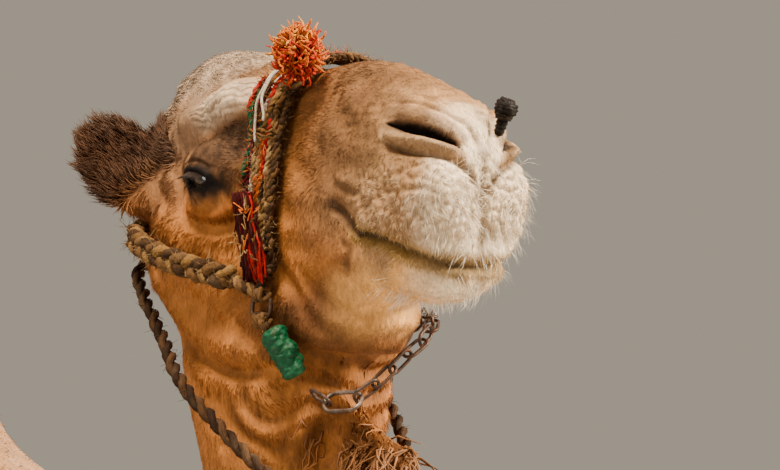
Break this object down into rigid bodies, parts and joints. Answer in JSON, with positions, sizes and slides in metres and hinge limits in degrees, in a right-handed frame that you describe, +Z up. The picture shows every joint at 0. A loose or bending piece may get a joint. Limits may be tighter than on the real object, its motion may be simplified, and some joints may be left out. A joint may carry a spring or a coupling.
{
  "type": "dromedary camel",
  "caption": "Standing dromedary with one hump, head raised and level, wearing a rope, wool and chain halter without a lead.",
  "frame": {"origin": "on the floor under the middle of the whole animal's length and width", "axes": "+X the way the animal faces, +Y to its left, +Z up"},
  "size_m": [2.3018, 0.5989, 2.2013],
  "materials": {
    "coat": "short hair, golden tan, paler and greyer on the muzzle and crown",
    "dark_coat": "longer dark brown hair",
    "pad": "bare horny skin",
    "nail": "dark horn",
    "eye": "wet, dark brown",
    "rope": "coarse braided hair rope",
    "dark_rope": "dark twisted rope",
    "red_wool": "dyed wool, mixed colours",
    "orange_wool": "dyed wool tuft",
    "green_tape": "wound tape",
    "iron": "rusty",
    "black": "dull"
  },
  "bodies": {
    "root": {"chain_a01": "iron", "chain_b01": "iron", "chain_b02": "iron", "chain_b03": "iron", "chain_b04": "iron", "chain_b05": "iron", "chain_b06": "iron", "chain_b07": "iron", "chain_b08": "iron", "chain_b09": "iron", "chain_b10": "iron", "cheek_rope": "rope", "chest_pad": "pad", "ear_left": "dark_coat", "ear_right": "dark_coat", "eye_left": "eye", "eye_right": "eye", "fore_foot_left": "coat", "fore_foot_right": "coat", "fore_lower_left": "coat", "fore_lower_right": "coat", "fore_upper_left": "coat", "fore_upper_right": "coat", "head": "coat", "headpiece": "dark_rope", "hind_foot_left": "coat", "hind_foot_right": "coat", "hind_lower_left": "coat", "hind_lower_right": "coat", "hind_upper_left": "coat", "hind_upper_right": "coat", "hump": "coat", "link_left": "iron", "link_right": "iron", "nail_fore_left_inner": "nail", "nail_fore_left_outer": "nail", "nail_fore_right_inner": "nail", "nail_fore_right_outer": "nail", "nail_hind_left_inner": "nail", "nail_hind_left_outer": "nail", "nail_hind_right_inner": "nail", "nail_hind_right_outer": "nail", "neck": "coat", "neck_rope": "dark_rope", "nose_peg": "black", "noseband": "red_wool", "noseband_rope": "dark_rope", "pompom": "orange_wool", "ring_right": "iron", "tail": "coat", "tail_tuft": "dark_coat", "tassel_left": "red_wool", "tassel_right": "red_wool", "trunk": "coat", "wrap_right": "green_tape"}
  },
  "joints": []
}
